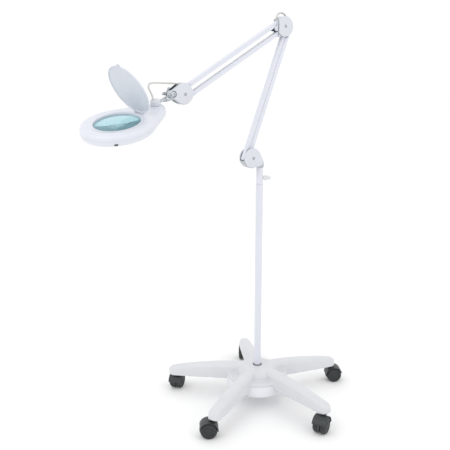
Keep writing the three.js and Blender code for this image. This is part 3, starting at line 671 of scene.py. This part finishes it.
def across(name, centre, radius, low, high, segments=40, edge=0.4):
    """A round bar across the arm plane."""
    return lathe(name, [(0, low), (radius, low), (radius, high), (0, high)], edge, segments,
                 matrix=move(centre[0], 0, centre[1]) @ TO_Y)


def cheeks(name, outline, radius=0.45):
    """The two plates of a bracket."""
    front = slab(name, outline, PLATE_IN, PLATE_OUT, radius)
    rear = slab("rear", outline, -PLATE_OUT, -PLATE_IN, radius)
    return front, rear


def arc_plate(name, centre, r1, r2, start, end, low, high, count=40):
    section = fillet([(r1, low), (r2, low), (r2, high), (r1, high)], 0.35, 2)
    rings = []
    for i in range(count + 1):
        angle = (start + (end - start) * i / count) * DEG
        rings.append([(centre[0] + r * math.cos(angle), y, centre[1] + r * math.sin(angle)) for r, y in section])
    return as_object(name, skin(rings))


def rivets(pins):
    return [across("rivet", pin, 2.9, -PLATE_OUT, PLATE_OUT) for pin in pins]


front, rear = cheeks("knuckle_frame", tangent(KNUCKLE, 28, KNUCKLE_FOOT, 11.5))
union(front, rear, *rivets([OUTER_FOOT, INNER_FOOT]),
      arc_plate("web", KNUCKLE, 29.2, 30.8, -110, -14, -PLATE_OUT + 0.05, PLATE_OUT - 0.05),
      arc_plate("rim", KNUCKLE, 26, 30.75, -110, -2, PLATE_IN + 0.03, PLATE_OUT - 0.1),
      arc_plate("rim", KNUCKLE, 26, 30.75, -110, -2, -PLATE_OUT + 0.1, -PLATE_IN - 0.03),
      block("foot", (-7, -PLATE_OUT + 0.5, SLEEVE_TOP + 0.8), (12, PLATE_OUT - 0.5, 784)),
      drum("collar", 10.2, SLEEVE_TOP + 0.8, 772), drum("spigot", 6.25, 704, 775))
settle(front, "knuckle", CHROME, ["knuckle_bracket"])

front, rear = cheeks("elbow_frame", circle(ELBOW, 28.5))
lobes = []
for centre, radius in (((-47, 1174), 7), ((-60, 1154.5), 5)):
    lobes += cheeks("lobe", tangent(ELBOW, 12, centre, radius))
union(front, rear, *rivets([OUTER_HEAD, INNER_HEAD, TOP_REAR, LOW_REAR]), *lobes)
settle(front, "elbow", CHROME, ["elbow_bracket"])

front, rear = cheeks("yoke_frame", tangent(YOKE, 29.8, CLAMP, 12))
union(front, rear, *rivets([TOP_FRONT, LOW_FRONT]),
      block("web", (271, -PLATE_IN - 0.5, 1010), (273.5, PLATE_IN + 0.5, 1020)))
settle(front, "yoke", CHROME, ["yoke_bracket"])


def flat_circle(centre, radius, reach, count=72):
    """A circle with its side towards +X cut straight at reach."""
    def outline(inset):
        r = radius - inset
        half = math.acos((reach - inset) / r)
        return [(centre[0] + r * math.cos(half + (2 * math.pi - 2 * half) * i / (count - 1)),
                 centre[1] + r * math.sin(half + (2 * math.pi - 2 * half) * i / (count - 1))) for i in range(count)]
    return outline


def screw(name, at, body, node):
    """A pan head with a cross recess, in the seat of the front cover."""
    head = lathe(name, [(0, COVER_OUT - 2), (4, COVER_OUT - 2), (4, COVER_OUT - 0.9), (2.6, COVER_OUT - 0.2),
                        (0, COVER_OUT - 0.15)], 0.5, 40)
    recess = [block("slot", (-2.3, -0.45, COVER_OUT - 1.2), (2.3, 0.45, COVER_OUT + 1), turn(a, "Z"))
              for a in (30, 120)]
    cut(head, *recess)
    union(head, drum("shank", 2, -14.4, COVER_OUT - 1.5))
    head.data.transform(move(at[0], 0, at[1]) @ TO_Y)
    settle(head, body, STEEL, [node])


def covers(name, outline, at, body, notch=None):
    """A domed cover on each side, notched round a bolt head if asked, and the screw that ties them."""
    for side, low, high in (("front", COVER_IN, COVER_OUT), ("rear", -COVER_OUT, -COVER_IN)):
        layers = round_layers(low, high, 1.9, 6)
        if side == "front":
            layers = [(0.3, low), (0, low + 0.3)] + [l for l in layers if l[1] > (low + high) / 2]
        else:
            layers = [l for l in layers if l[1] < (low + high) / 2] + [(0, high - 0.3), (0.3, high)]
        rings = [[(u, v, height) for u, v in outline(inset)] for inset, height in layers]
        cover = as_object(f"{name}_cap_{side}", skin(rings), ARM_PLANE)
        if side == "front":
            cut(cover, across("hole", at, 2.3, 0, 20, 32, 0),
                across("seat", at, 4.6, COVER_OUT - 2.1, 20, 48, 0))
        if notch:
            cut(cover, across("notch", notch, 9.3, -20, 20, 64, 0))
        soften(cover, 0.25, 60)
        settle(cover, body, WHITE, [f"{name}_cover_{side}"])
    screw(f"{name}_cap_screw", at, body, f"{name}_cover_screw")


covers("knuckle", tangent(KNUCKLE, 29.5, KNUCKLE_FOOT, 12.5), KNUCKLE_SCREW, "knuckle")
covers("elbow", flat_circle(ELBOW, 29.5, 22), ELBOW, "elbow")
covers("yoke", tangent(YOKE, 28.2, (289, 990.4), 17), YOKE_SCREW, "yoke", CLAMP)

# ---------------------------------------------------------------- spring arms


def spanned(first, second):
    slope = math.atan2(second[1] - first[1], second[0] - first[0])
    return move(first[0], 0, first[1]) @ Matrix.Rotation(-slope, 4, "Y")


def channel_bar(name, first, second, half_width, half_height, web_side, notch=None):
    """A folded channel with round ends, its web on one side and a pin hole at each end."""
    length = math.dist(first, second)
    wall = 1.2
    body = slab(name, tangent((0, 0), half_height, (length, 0), half_height, 20), -half_width, half_width, 0.9)
    face = half_height - wall
    low, high = (-half_height - 5, face) if web_side > 0 else (-face, half_height + 5)
    tools = [block("channel", (-20, -half_width + wall, low), (length + 20, half_width - wall, high))]
    for x in (0, length):
        tools.append(drum("hole", 3.2, -20, 20, move(x, 0, 0) @ TO_Y, 32))
    if notch:
        tools.append(block("notch", notch[0], notch[1]))
    cut(body, *tools)
    soften(body, 0.2, 60, 2)
    body.data.transform(spanned(first, second))
    return body


COIL_RADIUS, WIRE_RADIUS = 3.45, 0.52


def coil(name, first, second, margin, height):
    """A closely wound spring with a hook at each end."""
    length = math.dist(first, second)
    turns, ring = 118, 14
    start, end = margin + 8, length - margin - 8
    points = []
    for i in range(turns * ring + 1):
        a = 2 * math.pi * i / ring
        points.append(Vector((start + (end - start) * i / (turns * ring), COIL_RADIUS * math.cos(a),
                              COIL_RADIUS * math.sin(a))))
    hook_in = [Vector((margin, 0, 0)), Vector((margin + 4, 0.3, 0)), Vector((margin + 6.5, 2, 0))]
    hook_out = [Vector((length - margin - 6.5, 2, 0)), Vector((length - margin - 4, 0.3, 0)),
                Vector((length - margin, 0, 0))]
    obj = tube(name, hook_in + points + hook_out, WIRE_RADIUS, 6)
    obj.data.transform(spanned(first, second) @ move(0, 0, height))
    return obj


LOWER_LENGTH = math.dist(OUTER_FOOT, OUTER_HEAD)
settle(channel_bar("lower_bar_outer", OUTER_FOOT, OUTER_HEAD, 9, 6, 1,
                   ((LOWER_LENGTH - 20, -20, -20), (LOWER_LENGTH - 7, 20, -0.4))),
       "lower_outer_arm", ENAMEL, ["lower_arm_outer_bar"])
settle(channel_bar("lower_bar_inner", INNER_FOOT, INNER_HEAD, 7.4, 6, -1, ((7, -20, 0.4), (20, 20, 20))),
       "lower_inner_arm", ENAMEL, ["lower_arm_inner_bar"])
settle(coil("lower_coil", INNER_FOOT, INNER_HEAD, 40, 0.4),
       "lower_inner_arm", STEEL, ["lower_arm_spring"], sharp=80)
settle(channel_bar("upper_bar_top", TOP_REAR, TOP_FRONT, 9, 6, 1),
       "upper_top_arm", ENAMEL, ["upper_arm_top_bar"])
settle(channel_bar("upper_bar_low", LOW_REAR, LOW_FRONT, 9, 6, 1),
       "upper_lower_arm", ENAMEL, ["upper_arm_lower_bar"])
settle(coil("upper_coil", TOP_REAR, TOP_FRONT, 40, -0.2),
       "upper_top_arm", STEEL, ["upper_arm_spring"], sharp=80)

# ---------------------------------------------------------------- clamp and neck

NECK_PITCH, NECK_ROLL, HEAD_TURN = 13.6, -13, 11
NECK_REACH, SWIVEL_X = 50.3, -132.5
NECK_FOOT = Vector((CLAMP[0], 0, CLAMP[1] - 9.4))
NECK_AXIS = Vector((math.cos(NECK_PITCH * DEG), 0, -math.sin(NECK_PITCH * DEG)))
CLAMP_FRAME = Matrix.Translation(NECK_FOOT) @ turn(NECK_PITCH, "Y")
NECK = Matrix.Translation(NECK_FOOT + NECK_AXIS * NECK_REACH) @ turn(NECK_PITCH, "Y") @ turn(NECK_ROLL, "X")
HEAD = NECK @ turn(HEAD_TURN, "Z") @ move(-SWIVEL_X, 0, -24.5)
WASHER = 11.7

barrel = across("clamp_barrel", CLAMP, 10.5, -9, 9, 64, 1)
union(barrel, lathe("lug", [(0, -7), (7.6, -7), (7.6, 19), (0, 19)], 1, 48, matrix=CLAMP_FRAME @ TO_X))
cut(barrel, across("bore", CLAMP, 3.3, -20, 20, 32, 0), drum("bore", 4.8, -4, 24, CLAMP_FRAME @ TO_X))
settle(barrel, "clamp", CHROME, ["clamp_block"])

head_bolt = lathe("clamp_screw", [(0, WASHER), (8.5, WASHER), (8.5, 12.8), (7.4, 13), (7.4, 15.2),
                                  (6.4, 16.2), (0, 16.2)], 0.5, 64)
cut(head_bolt, slab("socket", hexagon(3.6), 13.6, 20, 0.1, Matrix()))
union(head_bolt, drum("shank", 3, -24, 13))
head_bolt.data.transform(move(CLAMP[0], 0, CLAMP[1]) @ TO_Y)
settle(head_bolt, "yoke", CHROME, ["clamp_bolt"])

nut = across("wing_grip", CLAMP, 6.5, -WASHER - 9, -WASHER, 48, 0.8)
wings = []
for angle in (5, 100, 215):
    wing = slab("wing", tangent((0, 0), 4.5, (14, 0), 5), -WASHER - 9, -WASHER - 5, 1.4)
    wing.data.transform(move(CLAMP[0], 0, CLAMP[1]) @ turn(-angle, "Y"))
    wings.append(wing)
union(nut, *wings)
cut(nut, across("bore", CLAMP, 3.3, -40, 0, 32, 0))
settle(nut, "wing_nut", ZINC, ["wing_nut"])

CYLINDER = 13.5
STEM_END = -CYLINDER + 8
stem = lathe("neck_rod", [(0, -53.3), (4.5, -53.3), (4.5, -30.5), (6.4, -30.5), (6.4, -25.3), (4.5, -25.3),
                          (4.5, STEM_END), (0, STEM_END)], 0.6, 48, matrix=TO_X)
settle(stem, "neck", CHROME, ["neck_stem"], NECK)

barrel = lathe("neck_knob", [(0, -16.5), (5, -16.5), (5, -7.5), (CYLINDER, -7.5), (CYLINDER, 5.6),
                             (CYLINDER - 2.2, 7.5), (0, 7.5)], 0.9, 72)
cut(barrel, drum("bore", 4.8, -30, STEM_END + 0.3, TO_X))
settle(barrel, "neck", WHITE, ["neck_cylinder"], NECK)

lead_foot = NECK.inverted() @ Vector(HEAD_LEAD[-1])
settle(lathe("neck_grommet", [(2.76, 5.5), (4.6, 5.5), (4.6, 8.3), (3.4, 11), (2.76, 11)], 0.4, 32, True,
             move(lead_foot.x, lead_foot.y, 0)), "neck", CABLE, [], NECK)

# ---------------------------------------------------------------- head

HEAD_RADIUS, TAIL_RADIUS, TAIL_X = 98.6, 33.8, -122
HALF, EDGE, WALL = 14, 8, 2.6
RING_OUT, RING_IN = 67, 64.2
LENS_RADIUS, LENS_PLANE = 63.5, 8
SEAM = 0.15
HINGE = (-74.2, 18.2)
HINGE_BORE = 1.8
LID_OPENING = 72.3


def teardrop(inset):
    """The head's outline: two circles and the straight sides between them."""
    r1, r2 = HEAD_RADIUS - inset, TAIL_RADIUS - inset
    spread = math.acos((r1 - r2) / -TAIL_X)
    start = math.pi - spread
    points = []
    for i in range(97):
        a = -start + 2 * start * i / 96
        points.append((r1 * math.cos(a), r1 * math.sin(a)))
    first, last = points[-1], (TAIL_X + r2 * math.cos(start), r2 * math.sin(start))
    side = [(first[0] + (last[0] - first[0]) * k / 8, first[1] + (last[1] - first[1]) * k / 8)
            for k in range(1, 8)]
    tail = []
    for i in range(41):
        a = start + (2 * math.pi - 2 * start) * i / 40
        tail.append((TAIL_X + r2 * math.cos(a), r2 * math.sin(a)))
    back = [(x, -y) for x, y in reversed(side)]
    return points + side + tail + back


def head_shell(name, side, hole):
    """Half of the hollow head, open at a round hole, with its wall on the inside."""
    angles = [math.atan2(y, x) for x, y in teardrop(EDGE)]
    rings = []

    def ring(points, z):
        rings.append([(x, y, side * z) for x, y in points])

    ring(teardrop(0), SEAM)
    ring(teardrop(0), HALF - EDGE)
    for k in range(1, 9):
        a = k / 8 * math.pi / 2
        ring(teardrop(EDGE * (1 - math.cos(a))), HALF - EDGE + EDGE * math.sin(a))
    circle_at = lambda r: [(r * math.cos(a), r * math.sin(a)) for a in angles]
    outer = teardrop(EDGE)
    rim = circle_at(hole)
    for k in (0.33, 0.66):
        ring([(ox + (rx - ox) * k, oy + (ry - oy) * k) for (ox, oy), (rx, ry) in zip(outer, rim)], HALF)
    ring(circle_at(hole + 0.5), HALF)
    ring(rim, HALF - 0.5)
    ring(rim, HALF - WALL)
    inner_edge = EDGE - WALL
    for k in range(6, -1, -1):
        a = k / 6 * math.pi / 2
        ring(teardrop(WALL + inner_edge * (1 - math.cos(a))), HALF - EDGE + inner_edge * math.sin(a))
    ring(teardrop(WALL), SEAM)
    return as_object(name, skin(rings, True))


SWITCH_ANGLE, SWITCH_Z = 49, -8


def switch_hole():
    return block("switch_hole", (HEAD_RADIUS - 12, -4.8, SWITCH_Z - 2.5), (HEAD_RADIUS + 10, 4.8, SWITCH_Z + 2.5),
                 turn(SWITCH_ANGLE, "Z"))


top = head_shell("head_upper_case", 1, RING_OUT + 0.35)
seat = lathe("seat", [(0, 11.6), (18, 11.6), (18, 14.2), (16.4, 16.5), (0, 16.5)], 0.8, 64, matrix=move(SWIVEL_X, 0, 0))
ears = []
for side in (-1, 1):
    low, high = sorted((side * 12, side * 16))
    ears.append(slab("ear", tangent(HINGE, 4, (HINGE[0] - 1, 11.2), 5), low, high, 0.6))
fittings = union(seat, *ears)
cut(fittings, block("roof", (-300, -300, -300), (300, 300, HALF - WALL + 0.2)))
union(top, fittings)
cut(top, drum("stud", 5.3, 0, 60, move(SWIVEL_X, 0, 0)),
    drum("pin", HINGE_BORE, -30, 30, move(HINGE[0], 0, HINGE[1]) @ TO_Y, 24), switch_hole())
settle(top, "head", HEAD_WHITE, ["head_top_shell"], HEAD)

bottom = head_shell("head_lower_case", -1, 84)
cut(bottom, switch_hole())
settle(bottom, "head", HEAD_WHITE, ["head_lower_shell"], HEAD)

rocker = slab("switch_button", lambda inset: fillet([(-4.5 + inset, -2.2 + inset), (4.5 - inset, -2.2 + inset),
                                                     (4.5 - inset, 2.2 - inset), (-4.5 + inset, 2.2 - inset)], 0.9, 3),
              HEAD_RADIUS - 7, HEAD_RADIUS + 0.8, 0.6, Matrix())
# Takes the button's height to +X, out of the rim.
OUTWARDS = Matrix(((0, 0, 1, 0), (1, 0, 0, 0), (0, 1, 0, 0), (0, 0, 0, 1)))
rocker.data.transform(turn(SWITCH_ANGLE, "Z") @ move(0, 0, SWITCH_Z) @ OUTWARDS)
settle(rocker, "switch", HOOD_DARK, ["power_switch"], HEAD)

settle(lathe("lens_collar", [
    (RING_IN, -10.4), (RING_OUT, -10.4), (RING_OUT, 14.3), (69, 14.3), (69, 15), (63.5, 15), (62, 9.8), (63.8, 9.8),
    (63.8, 6.2), (62, 6.2), (62, 4.6), (RING_IN, 2.7),
], 0.35, 128, True), "head", HEAD_WHITE, ["lens_ring"], HEAD)


def lens_profile():
    sag = 6
    curve = (LENS_RADIUS ** 2 + sag ** 2) / (2 * sag)
    radii = [LENS_RADIUS * i / 16 for i in range(17)]
    upper = [(r, 7.5 - curve + math.sqrt(curve ** 2 - r ** 2)) for r in radii]
    lower = [(r, -z) for r, z in upper]
    return [(r, z + LENS_PLANE) for r, z in lower + upper[::-1]]


settle(as_object("lens_disc", revolve(lens_profile(), 128)), "head", LENS, ["magnifier_lens"], HEAD)

RING_RADIUS, GLASS_RADIUS, RING_Z = 80, 7.9, -0.5
tube_rings = [[((RING_RADIUS + GLASS_RADIUS * math.cos(2 * math.pi * k / 24)) * math.cos(2 * math.pi * i / 96),
                (RING_RADIUS + GLASS_RADIUS * math.cos(2 * math.pi * k / 24)) * math.sin(2 * math.pi * i / 96),
                RING_Z + GLASS_RADIUS * math.sin(2 * math.pi * k / 24)) for k in range(24)] for i in range(96)]
settle(as_object("light_ring", skin(tube_rings, True)), "head", TUBE, ["ring_light_tube"], HEAD)

settle(lathe("light_cover", [(68, -11.1), (87.5, -11.1), (87.5, -9.1), (68, -9.1)], 0.4, 128, True),
       "head", DIFFUSER, ["light_diffuser"], HEAD)

settle(lathe("hinge_rod", [(0, -17), (1.5, -17), (1.5, 17), (0, 17)], 0.4, 32,
             matrix=move(HINGE[0], 0, HINGE[1]) @ TO_Y), "head", STEEL, ["lid_hinge_pin"], HEAD)

# ---------------------------------------------------------------- lid

LID_TOP = HINGE[1] + 1.6
LID_RADIUS, LID_X = 72, -4
cap = lathe("lens_cap", [
    (0, LID_TOP - 2.4), (LID_RADIUS - 5.5, LID_TOP - 2.4), (LID_RADIUS - 3.2, LID_TOP - 2.9), (LID_RADIUS - 3.2, 15.5),
    (LID_RADIUS, 15.5), (LID_RADIUS, LID_TOP - 1.2), (LID_RADIUS - 1.2, LID_TOP), (0, LID_TOP),
], 0.9, 128, matrix=move(LID_X, 0, 0))
for side in (-1, 1):
    low, high = sorted((side * 11.5, side * 16.4))
    cut(cap, block("ear_room", (-300, low, 0), (HINGE[0] + 4.6, high, 60)))
front = LID_X + LID_RADIUS
tab = slab("tab", lambda inset: fillet([(front - 2 + inset, -6 + inset), (front + 5 - inset, -6 + inset),
                                        (front + 5 - inset, 6 - inset), (front - 2 + inset, 6 - inset)], 2, 4),
           LID_TOP - 2.6, LID_TOP, 0.6, Matrix())
hinge_barrel = lathe("barrel", [(0, -11.5), (3.4, -11.5), (3.4, 11.5), (0, 11.5)], 0.5, 40,
                     matrix=move(HINGE[0], 0, HINGE[1]) @ TO_Y)
bridge = block("bridge", (HINGE[0], -11.4, LID_TOP - 2.6), (HINGE[0] + 8, 11.4, LID_TOP - 0.02))
union(cap, tab, hinge_barrel, bridge)
cut(cap, drum("pin", HINGE_BORE, -17.3, 17.3, move(HINGE[0], 0, HINGE[1]) @ TO_Y, 24))
OPEN_LID = HEAD @ move(HINGE[0], 0, HINGE[1]) @ turn(-LID_OPENING, "Y") @ move(-HINGE[0], 0, -HINGE[1])
settle(cap, "lid", LID_WHITE, ["lens_lid"], OPEN_LID)

# ---------------------------------------------------------------- studio

FLOOR = finish("floor_paper", (0.96, 0.96, 0.96), 0.8, vary=0.004)
bm = bmesh.new()
bmesh.ops.create_grid(bm, x_segments=1, y_segments=1, size=30)
floor = as_object("studio_floor", bm)
floor.data.materials.append(FLOOR)

world = bpy.data.worlds.new("studio")
SCENE.world = world
world.use_nodes = True
world.node_tree.nodes["Background"].inputs["Color"].default_value = (1, 1, 1, 1)
world.node_tree.nodes["Background"].inputs["Strength"].default_value = 1.05
SCENE.view_settings.view_transform = "Standard"
SCENE.view_settings.look = "None"


def softbox(name, place, target, size, power):
    data = bpy.data.lights.new(name, "AREA")
    data.size = size
    data.energy = power
    light = bpy.data.objects.new(name, data)
    light.location = place
    light.rotation_euler = (Vector(target) - Vector(place)).to_track_quat("-Z", "Y").to_euler()
    SCENE.collection.objects.link(light)


softbox("key", (2.2, 0.4, 2.8), (0, 0, 0.7), 1.6, 12)
softbox("fill", (-1.2, 2.6, 1.8), (0, 0, 0.7), 2.0, 5)
